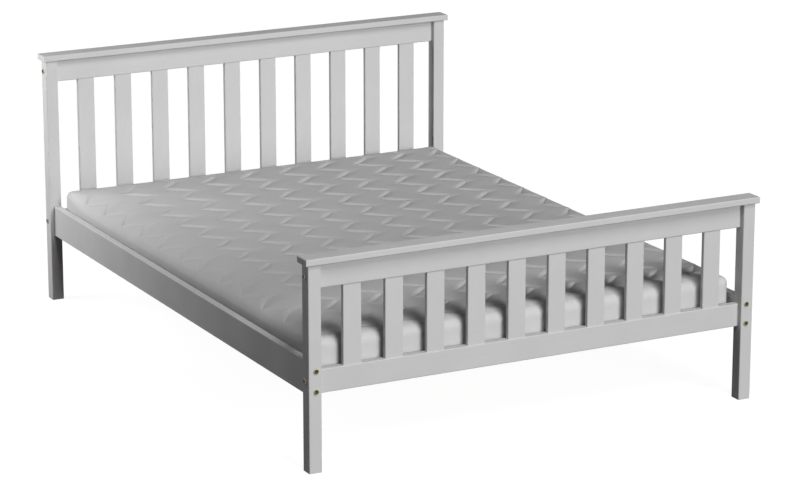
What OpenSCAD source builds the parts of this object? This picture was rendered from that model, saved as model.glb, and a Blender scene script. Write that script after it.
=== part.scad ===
// Slatted wooden bed with a quilted mattress.
// X runs across the bed, Y from the foot end to the head end, Z up.
// The origin is on the floor, under the middle of the bed.

/* [Overall] */
// Length over the posts
bed_length = 1990; // [1400:10:2200]
// Width over the posts
bed_width = 1478; // [900:2:1900]
// Height of the foot end, to the top of its cap
foot_height = 629; // [500:1:900]
// Height of the head end, to the top of its cap
head_height = 831; // [600:1:1300]

/* [Posts and caps] */
// Width of a post, across the bed
post_width = 40; // [38:1:80]
// Depth of a post, along the bed
post_depth = 41; // [38:1:80]
// Radius of the eased edges of the posts, rails and slats
edge_radius = 3; // [1:0.5:5]
// Thickness of the cap board on each end
cap_thickness = 19.5; // [15:0.5:32]
// How far a cap reaches past the post at its side
cap_side_overhang = 10.5; // [2:0.5:30]
// How far a cap reaches past the front and the back of a post
cap_face_overhang = 9; // [2:0.5:30]

/* [End rails] */
// Thickness of the rails between the posts of an end
end_rail_thickness = 24; // [20:1:34]
// Height of the rail under the cap
top_rail_height = 74; // [62:1:110]
// Height of the lower rail
lower_rail_height = 70.5; // [66:0.5:90]
// How far the lower rail's underside is above the side rails' underside
lower_rail_lift = 8.5; // [0:0.5:14]

/* [Upright slats] */
// Number of upright slats in each end
upright_count = 10; // [4:1:10]
// Width of an upright slat
upright_width = 57.7; // [30:0.1:80]
// Thickness of an upright slat
upright_thickness = 14.5; // [10:0.5:18]
// Gap at the posts, as a share of the gap between two uprights
upright_end_gap_share = 0.97; // [0.6:0.01:1.4]
// How far the row of uprights sits to the right of the middle
upright_shift = 5; // [-10:0.5:10]
// How far an upright's face lies behind the face of its rails
upright_recess = 3; // [1:0.5:5]
// Depth of an upright's tenon in each rail
tenon_depth = 12; // [6:1:20]

/* [Side rails] */
// Height of a side rail
side_rail_height = 100; // [90:1:160]
// Thickness of a side rail
side_rail_thickness = 24; // [20:1:24]
// Height of the side rails' underside above the floor
side_rail_bottom = 220; // [120:1:300]
// How far a side rail's outer face lies inside the posts' outer face
side_rail_inset = 14; // [8:0.5:14]
// Distance from a side rail's middle up or down to each of its two bolts
side_bolt_spread = 30; // [26:1:36]

/* [Slatted base] */
// Number of cross slats under the mattress
lath_count = 14; // [8:2:14]
// Width of a cross slat
lath_width = 70; // [50:1:84]
// Thickness of a cross slat
lath_thickness = 15; // [12:0.5:20]
// Width of the ledge on each side rail
ledge_width = 30; // [24:1:40]
// Height of a ledge
ledge_height = 30; // [24:1:34]
// Height of the ledges' top above the side rails' underside
ledge_rise = 43; // [42:0.5:52]
// Width of the middle beam
beam_width = 60; // [44:1:90]
// Height of the middle beam
beam_height = 32; // [24:0.5:32]
// Width of the square leg under the middle beam
leg_width = 40; // [34:1:44]

/* [Mattress] */
// Height of the mattress, at the highest point of its crown
mattress_height = 105.7; // [90:0.1:120]
// Gap between the mattress and each side rail
mattress_side_gap = 6; // [3:0.5:20]
// Gap between each end of the mattress and the cap above it, so that the mattress lifts out
mattress_end_gap = 0.5; // [0.5:0.5:20]
// How far in from its edges the top of the mattress starts to round down
border_width = 50; // [35:1:70]
// How far the rounded border drops
border_drop = 45; // [30:1:55]
// How far the middle of the mattress rises above the border
crown_rise = 6; // [2:0.5:12]
// How far the long sides are drawn in at their middle
side_pull = 3; // [0:0.5:6]
// Distance between two lines of quilting
quilt_line_pitch = 144; // [100:1:200]
// Length of one zigzag of a quilting line
quilt_zigzag_pitch = 150.5; // [110:0.5:200]
// How far a quilting line swings to each side
quilt_swing = 39; // [10:1:40]
// Length of the zigzag's short leg, as a share of one zigzag
quilt_short_leg_share = 0.4; // [0.3:0.01:0.5]
// Depth of the quilting lines
quilt_depth = 4; // [1:0.5:6]

/* [Fittings] */
// Diameter of a bolt's shank
bolt_diameter = 6; // [5:0.5:6]
// Diameter of a bolt's head
bolt_head_diameter = 17; // [14:0.5:20]
// Thickness of a bolt's head
bolt_head_thickness = 3; // [2.6:0.1:4]
// Distance from the end of a rail to its barrel nuts
nut_distance = 30; // [24:1:36]
// Diameter of a barrel nut
nut_diameter = 10; // [8:0.5:11]
// Length of a barrel nut
nut_length = 11; // [9:0.5:13]
// Diameter of a wooden dowel
dowel_diameter = 8; // [6:0.5:8]
// Diameter of a screw's shank
screw_diameter = 4; // [3:0.5:4.5]

/* [Hidden] */
$fn = 48;

// Clearances and overrun
joint_gap = 0.1;
rest_gap = 0.3;
thread_gap = 0.05;
bolt_hole_gap = 0.3;
cut_over = 2;

// Posts and caps
panel_width = bed_width - 2 * post_width;
foot_front = -bed_length / 2;
head_front = bed_length / 2 - post_depth;
post_x = (bed_width - post_width) / 2;
cap_length = bed_width + 2 * cap_side_overhang;
cap_depth = post_depth + 2 * cap_face_overhang;
foot_cap_bottom = foot_height - cap_thickness;
head_cap_bottom = head_height - cap_thickness;

// End rails: flush with the backs of the posts
rail_setback = post_depth - end_rail_thickness;
lower_rail_bottom = side_rail_bottom + lower_rail_lift;
lower_rail_top = lower_rail_bottom + lower_rail_height;
foot_top_rail_bottom = foot_cap_bottom - top_rail_height;
head_top_rail_bottom = head_cap_bottom - top_rail_height;

// Upright slats
upright_gap_shares = upright_count - 1 + 2 * upright_end_gap_share;
upright_gap = (panel_width - upright_count * upright_width) / upright_gap_shares;
upright_pitch = upright_gap + upright_width;
upright_y = rail_setback + upright_recess;

// Side rails and ledges
side_rail_length = bed_length - 2 * post_depth;
side_rail_outer = bed_width / 2 - side_rail_inset;
side_rail_inner = side_rail_outer - side_rail_thickness;
ledge_past_nut = 9;
ledge_end_gap = nut_distance + nut_diameter + ledge_past_nut;
ledge_length = side_rail_length - 2 * ledge_end_gap;
ledge_top = side_rail_bottom + ledge_rise;
ledge_inner = side_rail_inner - ledge_width;

// Slatted base
lath_side_gap = 1.5;
lath_end_margin = 5;
lath_length = 2 * (side_rail_inner - lath_side_gap);
lath_pitch = (ledge_length - 2 * lath_end_margin - lath_width) / (lath_count - 1);
lath_radius = 2;
lath_top = ledge_top + lath_thickness;
beam_bottom = ledge_top - beam_height;
beam_front = foot_front + post_depth;
beam_back = head_front + rail_setback;
beam_length = beam_back - beam_front;

// Hangers that carry the beam
hanger_wall = 2;
hanger_reach = 36;
hanger_ear = 22;
hanger_side_gap = 0.2;
hanger_top_share = 0.86;

// Bolts, barrel nuts, dowels and screws
bolt_radius = bolt_diameter / 2;
bolt_head_radius = bolt_head_diameter / 2;
bolt_head_edge = 1;
bolt_dish_share = 0.8;
bolt_dish_depth = 0.8;
bolt_socket_width = 5;
bolt_socket_depth = 1.6;
bolt_past_nut = 4;
bolt_length = post_width + nut_distance + nut_diameter / 2 + bolt_past_nut;
bolt_hole_radius = bolt_radius + bolt_hole_gap;
bolt_hole_depth = bolt_length + cut_over;
nut_radius = nut_diameter / 2;
nut_cover = 3;
nut_slot_width = 1.4;
nut_slot_depth = 1.5;
side_bolt_offset = side_rail_inset + nut_cover + nut_length / 2;
end_bolt_offset = rail_setback + nut_cover + nut_length / 2;
side_bolt_z = side_rail_bottom + side_rail_height / 2;
lower_bolt_rise = 4.2;
lower_bolt_z = lower_rail_bottom + lower_rail_height / 2 + lower_bolt_rise;
foot_top_bolt_z = foot_top_rail_bottom + top_rail_height / 2;
head_top_bolt_z = head_top_rail_bottom + top_rail_height / 2;
dowel_radius = dowel_diameter / 2;
dowel_in_rail = 18;
dowel_in_mate = 12;
dowel_spread = 20;
dowel_end_gap = 1;
dowel_chamfer = 1;
cap_dowel_shares = [-0.36, -0.12, 0.12, 0.36];
screw_radius = screw_diameter / 2;
screw_head_radius = screw_radius * 2;
screw_head_height = screw_radius * 1.4;
screw_point = screw_radius * 2;
shank_hole_radius = screw_radius + thread_gap;
head_hole_radius = screw_head_radius + thread_gap;
screw_recess_width = screw_radius * 1.1;
screw_recess_depth = screw_radius * 0.7;
lath_screw_length = 38;
frame_screw_length = 48;
hanger_screw_length = 20;
ledge_screw_shares = [-6, -4, -2, 0, 2, 4, 6];
ledge_screw_z = ledge_top - ledge_height / 2;
leg_screw_spread = leg_width / 4;

// Mattress
mattress_width = 2 * (side_rail_inner - mattress_side_gap);
mattress_length = 2 * (head_front - cap_face_overhang - mattress_end_gap);
mattress_bottom = lath_top + rest_gap;
mattress_border = mattress_height - crown_rise;
top_half_width = mattress_width / 2 - border_width;
top_half_length = mattress_length / 2 - border_width;
corner_step = border_width * 0.4;
quilt_start = quilt_zigzag_pitch * 0.11;
foot_round = 14;

// Colours
paint = [0.93, 0.93, 0.92];
bare_wood = [0.80, 0.66, 0.46];
brass = [0.72, 0.62, 0.34];
steel = [0.70, 0.71, 0.73];
ticking = [0.90, 0.90, 0.90];

function numbered(name) = [for (i = [1:upright_count]) str(name, i)];

// A centred rectangle with eased corners
module eased_rectangle(width, height, radius) {
    square([width - 2 * radius, height], center = true);
    square([width, height - 2 * radius], center = true);
    for (x = [-1, 1], y = [-1, 1])
        translate([x * (width / 2 - radius), y * (height / 2 - radius)])
            circle(r = radius);
}

// A board along X with eased long edges: its middle in X and Z and its front face are at the origin
module board_along_x(length, depth, height, radius) {
    translate([0, depth / 2, 0])
        rotate([90, 0, 90])
            linear_extrude(length, center = true)
                eased_rectangle(depth, height, radius);
}

// A board along Y, centred on the origin
module board_along_y(length, width, height, radius) {
    rotate([90, 0, 0])
        linear_extrude(length, center = true)
            eased_rectangle(width, height, radius);
}

// A hole or a pin along X, Y or Z that starts at the origin
module rod_x(radius, length) {
    rotate([0, 90, 0])
        cylinder(r = radius, h = length);
}

module rod_y(radius, length) {
    rotate([-90, 0, 0])
        cylinder(r = radius, h = length);
}

module rod_z(radius, length) {
    cylinder(r = radius, h = length);
}

// Places its children at the left end of the bed, and mirrored at the right end
module both_sides() {
    children();
    mirror([1, 0, 0])
        children();
}

// Places its children at the foot end, and turned round at the head end
module both_ends() {
    children();
    mirror([0, 1, 0])
        children();
}

// The outer front corner of a left post, on the floor
function post_corner(front) = [-bed_width / 2, front, 0];

// A left post, from the floor to the cap, with the holes for its bolts and dowels
module post(front, height, top_bolt_z) {
    translate(post_corner(front))
        difference() {
            translate([post_width / 2, post_depth / 2, 0])
                linear_extrude(height)
                    eased_rectangle(post_width, post_depth, edge_radius);
            for (side = [-1, 1])
                translate([side_bolt_offset, -cut_over, side_bolt_z + side * side_bolt_spread])
                    rod_y(bolt_hole_radius, post_depth + 2 * cut_over);
            for (z = [lower_bolt_z, top_bolt_z]) {
                translate([-cut_over, end_bolt_offset, z])
                    rod_x(bolt_hole_radius, post_width + 2 * cut_over);
                for (side = [-1, 1])
                    translate([
                        post_width - dowel_in_mate - dowel_end_gap,
                        rail_setback + end_rail_thickness / 2,
                        z + side * dowel_spread
                    ])
                        rod_x(dowel_radius + joint_gap, dowel_in_mate + dowel_end_gap + cut_over);
            }
            translate([post_width / 2, post_depth / 2, height - dowel_in_rail - dowel_end_gap])
                rod_z(dowel_radius + joint_gap, dowel_in_rail + dowel_end_gap + cut_over);
        }
}

// Where the dowels stand that hold a cap
function cap_dowel_places(front) = concat(
    [for (x = [-post_x, post_x]) [x, front + post_depth / 2]],
    [for (share = cap_dowel_shares) [share * panel_width, front + rail_setback + end_rail_thickness / 2]]
);

// The board along the top of an end, eased on every edge
module cap(front, bottom) {
    difference() {
        translate([0, front + post_depth / 2, bottom + cap_thickness / 2])
            intersection() {
                translate([0, -cap_depth / 2, 0])
                    board_along_x(cap_length, cap_depth, cap_thickness, edge_radius);
                board_along_y(cap_depth, cap_length, cap_thickness, edge_radius);
                linear_extrude(cap_thickness, center = true)
                    eased_rectangle(cap_length, cap_depth, edge_radius);
            }
        for (place = cap_dowel_places(front))
            translate([place[0], place[1], bottom - cut_over])
                rod_z(dowel_radius + joint_gap, dowel_in_mate + dowel_end_gap + cut_over);
    }
}

// Where the middle of an upright is in X
function upright_x(i) = upright_shift + (i - (upright_count + 1) / 2) * upright_pitch;

// The holes in both ends of an end rail for its bolt, barrel nut and dowels
module end_rail_holes(front, bolt_z) {
    both_sides()
        translate([-panel_width / 2, front, bolt_z]) {
            translate([-post_width - cut_over, end_bolt_offset, 0])
                rod_x(bolt_hole_radius, bolt_hole_depth + cut_over);
            translate([nut_distance, rail_setback + nut_cover, 0])
                rod_y(nut_radius + joint_gap, end_rail_thickness);
            for (side = [-1, 1])
                translate([-cut_over, rail_setback + end_rail_thickness / 2, side * dowel_spread])
                    rod_x(dowel_radius + joint_gap, dowel_in_rail + dowel_end_gap + cut_over);
        }
}

// The slots that the uprights' tenons fill
module mortises(front, bottom, depth) {
    for (i = [1:upright_count])
        translate([upright_x(i) - upright_width / 2, front + upright_y, bottom])
            cube([upright_width, upright_thickness, depth]);
}

module top_rail(front, bottom) {
    difference() {
        translate([0, front + rail_setback, bottom + top_rail_height / 2])
            board_along_x(panel_width, end_rail_thickness, top_rail_height, edge_radius);
        end_rail_holes(front, bottom + top_rail_height / 2);
        mortises(front, bottom - cut_over, tenon_depth + cut_over);
        for (place = cap_dowel_places(front))
            translate([place[0], place[1], bottom + top_rail_height - dowel_in_rail - dowel_end_gap])
                rod_z(dowel_radius + joint_gap, dowel_in_rail + dowel_end_gap + cut_over);
    }
}

// Where the hanger's screws enter the face of a lower rail
hanger_screw_x = beam_width / 2 + hanger_wall + hanger_ear / 2;
hanger_height = beam_height * hanger_top_share + hanger_wall;
hanger_screw_zs = [
    beam_bottom + hanger_height * 0.25,
    beam_bottom + hanger_height * 0.7
];

module lower_rail(front, inner_face, inward) {
    difference() {
        translate([0, front + rail_setback, lower_rail_bottom + lower_rail_height / 2])
            board_along_x(panel_width, end_rail_thickness, lower_rail_height, edge_radius);
        end_rail_holes(front, lower_bolt_z);
        mortises(front, lower_rail_top - tenon_depth, tenon_depth + cut_over);
        for (x = [-1, 1], z = hanger_screw_zs)
            translate([x * hanger_screw_x, inner_face + inward * cut_over, z])
                rotate([inward * 90, 0, 0])
                    rod_z(shank_hole_radius, hanger_screw_length + cut_over);
    }
}

// An upright slat with a stub tenon in each rail
module upright(front, i, top_rail_bottom) {
    length = top_rail_bottom - lower_rail_top;
    translate([upright_x(i), front + upright_y + upright_thickness / 2, lower_rail_top]) {
        linear_extrude(length)
            eased_rectangle(upright_width, upright_thickness, edge_radius);
        translate([-upright_width / 2, -upright_thickness / 2, -tenon_depth])
            cube([upright_width, upright_thickness, tenon_depth]);
        translate([-upright_width / 2, -upright_thickness / 2, length])
            cube([upright_width, upright_thickness, tenon_depth]);
    }
}

// Where the screws of a ledge are in Y: in the gaps between the cross slats
function ledge_screw_ys() = [for (share = ledge_screw_shares) share * lath_pitch];

module side_rail() {
    difference() {
        translate([-side_rail_outer + side_rail_thickness / 2, 0, side_rail_bottom + side_rail_height / 2])
            board_along_y(side_rail_length, side_rail_thickness, side_rail_height, edge_radius);
        both_ends()
            for (side = [-1, 1])
                translate([-bed_width / 2, -side_rail_length / 2, side_bolt_z + side * side_bolt_spread]) {
                    translate([side_bolt_offset, -post_depth - cut_over, 0])
                        rod_y(bolt_hole_radius, bolt_hole_depth + cut_over);
                    translate([side_rail_inset + nut_cover, nut_distance, 0])
                        rod_x(nut_radius + joint_gap, side_rail_thickness);
                }
        for (y = ledge_screw_ys())
            translate([-ledge_inner - frame_screw_length, y, ledge_screw_z])
                rod_x(shank_hole_radius, frame_screw_length);
    }
}

// The hole of a countersunk screw: its head's top is at the origin and it points down
module screw_hole(length) {
    translate([0, 0, -length - cut_over])
        rod_z(shank_hole_radius, length + 2 * cut_over);
    translate([0, 0, -screw_head_height])
        cylinder(r1 = shank_hole_radius, r2 = head_hole_radius, h = screw_head_height);
    rod_z(head_hole_radius, cut_over);
}

// A countersunk screw with a cross slot, placed as its hole is
module screw(length) {
    difference() {
        rotate_extrude()
            polygon([
                [0, 0],
                [screw_head_radius, 0],
                [screw_radius, -screw_head_height],
                [screw_radius, screw_point - length],
                [0, -length]
            ]);
        for (turn = [0, 90])
            rotate([0, 0, turn])
                translate([-screw_recess_width, -screw_recess_width / 4, -screw_recess_depth])
                    cube([2 * screw_recess_width, screw_recess_width / 2, screw_recess_depth + cut_over]);
    }
}

// The left ledge's screws: heads on the ledge's inner face, points in the side rail
module at_ledge_screws() {
    for (y = ledge_screw_ys())
        translate([-ledge_inner, y, ledge_screw_z])
            rotate([0, 90, 0])
                children();
}

// Where a cross slat is in Y
function lath_y(i) = (i - (lath_count + 1) / 2) * lath_pitch;

// The cross slats' screws at the left side
module at_lath_screws(only) {
    for (i = only)
        translate([-(side_rail_inner + ledge_inner) / 2, lath_y(i), lath_top])
            children();
}

module ledge() {
    difference() {
        translate([-side_rail_inner + ledge_width / 2, 0, ledge_top - ledge_height / 2])
            board_along_y(ledge_length, ledge_width, ledge_height, lath_radius);
        at_ledge_screws()
            screw_hole(frame_screw_length);
        at_lath_screws([1:lath_count])
            screw_hole(lath_screw_length);
    }
}

module cross_slat(i) {
    difference() {
        translate([0, lath_y(i) - lath_width / 2, ledge_top + lath_thickness / 2])
            board_along_x(lath_length, lath_width, lath_thickness, lath_radius);
        both_sides()
            at_lath_screws([i])
                screw_hole(lath_screw_length);
    }
}

// The screws that hold the middle leg to the beam
module at_leg_screws() {
    for (y = [-leg_screw_spread, leg_screw_spread])
        translate([0, y, ledge_top])
            children();
}

module middle_beam() {
    difference() {
        translate([0, (beam_front + beam_back) / 2, ledge_top - beam_height / 2])
            board_along_y(beam_length, beam_width, beam_height, lath_radius);
        at_leg_screws()
            screw_hole(frame_screw_length);
    }
}

module middle_leg() {
    difference() {
        linear_extrude(beam_bottom)
            eased_rectangle(leg_width, leg_width, edge_radius);
        at_leg_screws()
            screw_hole(frame_screw_length);
    }
}

// The steel shoe that carries an end of the beam: its seat runs from the origin along +Y
module beam_hanger() {
    inner_width = beam_width + 2 * hanger_side_gap;
    outer_width = inner_width + 2 * hanger_wall;
    difference() {
        translate([0, 0, beam_bottom - hanger_wall]) {
            translate([-outer_width / 2, 0, 0])
                cube([outer_width, hanger_reach, hanger_wall]);
            for (x = [-outer_width / 2, outer_width / 2 - hanger_wall])
                translate([x, 0, 0])
                    cube([hanger_wall, hanger_reach, hanger_height]);
            for (x = [-outer_width / 2 - hanger_ear, outer_width / 2])
                translate([x, 0, 0])
                    cube([hanger_ear, hanger_wall, hanger_height]);
        }
        for (x = [-1, 1], z = hanger_screw_zs)
            translate([x * hanger_screw_x, -cut_over, z])
                rod_y(shank_hole_radius, hanger_wall + 2 * cut_over);
    }
}

// The pan-head screws of one hanger
module hanger_screw_set() {
    for (x = [-1, 1], z = hanger_screw_zs)
        translate([x * hanger_screw_x, hanger_wall, z])
            rotate([90, 0, 0]) {
                rod_z(screw_radius, hanger_screw_length - screw_point);
                translate([0, 0, hanger_screw_length - screw_point])
                    cylinder(r1 = screw_radius, r2 = 0, h = screw_point);
                translate([0, 0, -screw_head_height])
                    cylinder(r1 = screw_head_radius * 0.7, r2 = screw_head_radius, h = screw_head_height);
            }
}

// A bolt with a dished head and a hexagonal socket: the head's seat is at the origin, the shank runs up Z
module bolt() {
    dish_radius = bolt_head_radius * bolt_dish_share;
    socket_cut = cut_over + bolt_dish_depth + bolt_socket_depth;
    difference() {
        rotate_extrude()
            polygon([
                [0, -bolt_head_thickness + bolt_dish_depth],
                [dish_radius - bolt_dish_depth, -bolt_head_thickness + bolt_dish_depth],
                [dish_radius, -bolt_head_thickness],
                [bolt_head_radius - bolt_head_edge, -bolt_head_thickness],
                [bolt_head_radius, -bolt_head_thickness + bolt_head_edge],
                [bolt_head_radius, 0],
                [bolt_radius, 0],
                [bolt_radius, bolt_length - bolt_head_edge],
                [bolt_radius - bolt_head_edge, bolt_length],
                [0, bolt_length]
            ]);
        translate([0, 0, -bolt_head_thickness - cut_over])
            cylinder(d = bolt_socket_width * 2 / sqrt(3), h = socket_cut, $fn = 6);
    }
}

// A barrel nut: its length runs along Z from the origin, and its thread runs along X
module barrel_nut() {
    difference() {
        rod_z(nut_radius, nut_length);
        translate([-nut_radius - cut_over, 0, nut_length / 2])
            rod_x(bolt_radius + thread_gap, 2 * (nut_radius + cut_over));
        translate([-nut_radius - cut_over, -nut_slot_width / 2, nut_length - nut_slot_depth])
            cube([2 * (nut_radius + cut_over), nut_slot_width, nut_slot_depth + cut_over]);
    }
}

// A dowel along Z: the joint's face is at the origin and the longer part is above it
module dowel() {
    translate([0, 0, -dowel_in_mate])
        rotate_extrude()
            polygon([
                [0, 0],
                [dowel_radius - dowel_chamfer, 0],
                [dowel_radius, dowel_chamfer],
                [dowel_radius, dowel_in_mate + dowel_in_rail - dowel_chamfer],
                [dowel_radius - dowel_chamfer, dowel_in_mate + dowel_in_rail],
                [0, dowel_in_mate + dowel_in_rail]
            ]);
}

// The joints between the left end of the end rails and the left posts
end_joints = [
    [foot_front, lower_bolt_z],
    [foot_front, foot_top_bolt_z],
    [head_front, lower_bolt_z],
    [head_front, head_top_bolt_z]
];

module end_bolts() {
    for (joint = end_joints)
        translate([-bed_width / 2, joint[0] + end_bolt_offset, joint[1]])
            rotate([0, 90, 0])
                bolt();
}

module side_bolts() {
    bolt_x = -bed_width / 2 + side_bolt_offset;
    both_ends()
        for (side = [-1, 1])
            translate([bolt_x, foot_front, side_bolt_z + side * side_bolt_spread])
                rotate([-90, 0, 0])
                    bolt();
}

module end_nuts() {
    for (joint = end_joints)
        translate([-panel_width / 2 + nut_distance, joint[0] + rail_setback + nut_cover, joint[1]])
            rotate([-90, 0, 0])
                barrel_nut();
}

module side_nuts() {
    both_ends()
        for (side = [-1, 1])
            translate([
                -side_rail_outer + nut_cover,
                -side_rail_length / 2 + nut_distance,
                side_bolt_z + side * side_bolt_spread
            ])
                rotate([0, 90, 0])
                    rotate([0, 0, 90])
                        barrel_nut();
}

module end_dowels() {
    for (joint = end_joints, side = [-1, 1])
        translate([
            -panel_width / 2,
            joint[0] + rail_setback + end_rail_thickness / 2,
            joint[1] + side * dowel_spread
        ])
            rotate([0, 90, 0])
                dowel();
}

module cap_dowels(front, bottom) {
    for (place = cap_dowel_places(front))
        translate([place[0], place[1], bottom])
            rotate([180, 0, 0])
                dowel();
}

// The quilting lines: how many there are, and how many whole zigzags each has
quilt_line_room = top_half_width - corner_step - quilt_swing;
quilt_lines = 2 * floor(quilt_line_room / quilt_line_pitch + 1 / 2);
quilt_room = 2 * (top_half_length - corner_step) - 2 * quilt_start;
quilt_zigzags = floor(quilt_room / quilt_zigzag_pitch);

// The columns of the mattress top: [place in mm, share of the depth, share of the swing]
function quilt_columns() = concat(
    [[-top_half_width, 0, 0], [corner_step - top_half_width, 0, 0]],
    [for (i = [0:2 * quilt_lines])
        [
            (i - quilt_lines) * quilt_line_pitch / 2,
            i % 2,
            i == 0 || i == 2 * quilt_lines ? 1 / 2 : 1
        ]
    ],
    [[top_half_width - corner_step, 0, 0], [top_half_width, 0, 0]]
);

// The rows of the mattress top: [place, how deep the lines are, which way they swing]
function quilt_rows() = concat(
    [[-top_half_length, 0, 0], [corner_step - top_half_length, 1 / 2, 0]],
    [for (j = [0:2 * quilt_zigzags])
        [
            corner_step - top_half_length + quilt_start
                + (floor(j / 2) + (j % 2) * quilt_short_leg_share) * quilt_zigzag_pitch,
            1,
            j % 2 == 0 ? -1 : 1
        ]
    ],
    [[top_half_length - corner_step, 1 / 2, 0], [top_half_length, 0, 0]]
);

// A point of the top: the crown rises to the middle and the quilting lines sink into it
function top_point(column, row) =
    let (
        x = column[0] + column[2] * row[2] * quilt_swing,
        y = row[0],
        across = 1 - pow(x / top_half_width, 4),
        along = 1 - pow(y / top_half_length, 4)
    )
    [x, y, mattress_border + crown_rise * across * along - quilt_depth * column[1] * row[1]];

// The rounded border as rings: [share of its width, share of its drop or height, from which end]
border_angles = [30, 60, 90];
function border_ring(corner, outward, angle) =
    let (
        pull = outward[0] == 0 || outward[1] != 0 ? 0 : side_pull * cos(90 * corner[1] / top_half_length),
        reach = border_width * sin(angle) - pull * sin(angle)
    )
    [
        corner[0] + outward[0] * reach,
        corner[1] + outward[1] * reach,
        mattress_border - border_drop * (1 - cos(angle))
    ];
function foot_ring(corner, outward, inset, z) =
    let (
        pull = outward[0] == 0 || outward[1] != 0 ? 0 : side_pull * cos(90 * corner[1] / top_half_length),
        reach = border_width - pull - inset
    )
    [corner[0] + outward[0] * reach, corner[1] + outward[1] * reach, z];

module mattress() {
    columns = quilt_columns();
    rows = quilt_rows();
    nc = len(columns);
    nr = len(rows);
    loop = concat(
        [for (i = [0:nc - 2]) [i, 0]],
        [for (j = [0:nr - 2]) [nc - 1, j]],
        [for (i = [nc - 1:-1:1]) [i, nr - 1]],
        [for (j = [nr - 1:-1:1]) [0, j]]
    );
    nb = len(loop);
    corner_share = 1 / sqrt(2);
    outward = [for (p = loop)
        let (
            ox = p[0] == 0 ? -1 : p[0] == nc - 1 ? 1 : 0,
            oy = p[1] == 0 ? -1 : p[1] == nr - 1 ? 1 : 0,
            size = ox != 0 && oy != 0 ? corner_share : 1
        )
        [ox * size, oy * size]
    ];
    edge = [for (p = loop) [columns[p[0]][0], rows[p[1]][0]]];
    top = [for (row = rows, column = columns) top_point(column, row)];
    rings = concat(
        [for (angle = border_angles, b = [0:nb - 1]) border_ring(edge[b], outward[b], angle)],
        [for (b = [0:nb - 1]) foot_ring(edge[b], outward[b], 0, foot_round)],
        [for (b = [0:nb - 1]) foot_ring(edge[b], outward[b], foot_round, 0)]
    );
    ring_count = len(border_angles) + 2;
    ring_start = nc * nr;
    points = concat(top, rings, [[0, 0, 0]]);
    last = len(points) - 1;
    function at(ring, b) = ring == 0
        ? loop[b % nb][1] * nc + loop[b % nb][0]
        : ring_start + (ring - 1) * nb + b % nb;
    top_faces = [for (j = [0:nr - 2], i = [0:nc - 2], half = [0, 1])
        let (
            a = j * nc + i,
            b = a + nc,
            c = b + 1,
            d = a + 1
        )
        half == 0 ? [a, b, c] : [a, c, d]
    ];
    ring_faces = [for (k = [0:ring_count - 1], b = [0:nb - 1], half = [0, 1])
        half == 0
            ? [at(k, b), at(k, b + 1), at(k + 1, b + 1)]
            : [at(k, b), at(k + 1, b + 1), at(k + 1, b)]
    ];
    base_faces = [for (b = [0:nb - 1]) [at(ring_count, b), at(ring_count, b + 1), last]];
    color(ticking)
        translate([0, 0, mattress_bottom])
            polyhedron(points, concat(top_faces, ring_faces, base_faces));
}

module bolts() {
    color(brass)
        both_sides() {
            end_bolts();
            side_bolts();
        }
}

module barrel_nuts() {
    color(steel)
        both_sides() {
            end_nuts();
            side_nuts();
        }
}

module dowels() {
    color(bare_wood) {
        both_sides()
            end_dowels();
        cap_dowels(foot_front, foot_cap_bottom);
        cap_dowels(head_front, head_cap_bottom);
    }
}

module cross_slat_screws() {
    color(steel)
        both_sides()
            at_lath_screws([1:lath_count])
                screw(lath_screw_length);
}

module frame_screws() {
    color(steel) {
        both_sides()
            at_ledge_screws()
                screw(frame_screw_length);
        at_leg_screws()
            screw(frame_screw_length);
    }
}

module foot_hanger() {
    translate([0, beam_front, 0])
        children();
}

module head_hanger() {
    translate([0, beam_back, 0])
        mirror([0, 1, 0])
            children();
}

module head_post_left() {
    color(paint)
        post(head_front, head_cap_bottom, head_top_bolt_z);
}

module foot_post_left() {
    color(paint)
        post(foot_front, foot_cap_bottom, foot_top_bolt_z);
}

head_post_left();
mirror([1, 0, 0]) head_post_left();  // head_post_right
color(paint) cap(head_front, head_cap_bottom);  // head_cap
color(paint) top_rail(head_front, head_top_rail_bottom);  // head_top_rail
color(paint) lower_rail(head_front, beam_back, -1);  // head_lower_rail
foot_post_left();
mirror([1, 0, 0]) foot_post_left();  // foot_post_right
color(paint) cap(foot_front, foot_cap_bottom);  // foot_cap
color(paint) top_rail(foot_front, foot_top_rail_bottom);  // foot_top_rail
color(paint) lower_rail(foot_front, beam_front, 1);  // foot_lower_rail
for (i = [1:upright_count]) {
    color(paint) upright(head_front, i, head_top_rail_bottom);
    color(paint) upright(foot_front, i, foot_top_rail_bottom);
}
color(paint) side_rail();  // side_rail_left
color(paint) mirror([1, 0, 0]) side_rail();  // side_rail_right
color(bare_wood) ledge();  // ledge_left
color(bare_wood) mirror([1, 0, 0]) ledge();  // ledge_right
for (i = [1:lath_count])
    color(bare_wood) cross_slat(i);
color(bare_wood) middle_beam();
color(bare_wood) middle_leg();
color(steel) foot_hanger() beam_hanger();  // beam_hanger_foot
color(steel) head_hanger() beam_hanger();  // beam_hanger_head
bolts();
barrel_nuts();
dowels();
cross_slat_screws();
frame_screws();
color(steel) {  // hanger_screws
        foot_hanger() hanger_screw_set();
        head_hanger() hanger_screw_set();
    }
mattress();
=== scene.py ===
# %% [markdown]
# # A slatted double bed with a quilted mattress
#
# The bed is a white painted wooden frame. Two ends, each with a cap board, two rails and a row of
# upright slats, are bolted to two side rails, and a mattress lies between them on cross slats.
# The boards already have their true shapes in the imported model, so they keep them here and get
# finishes. What is made new is the mattress, whose cover is stitched in zigzags, and the bolts.
#
# Everything is in metres, in one frame: X runs across the bed, Y from its foot to its head, Z up.

# %% Load the bed as a fixed frame
from math import cos, radians, sin

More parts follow.
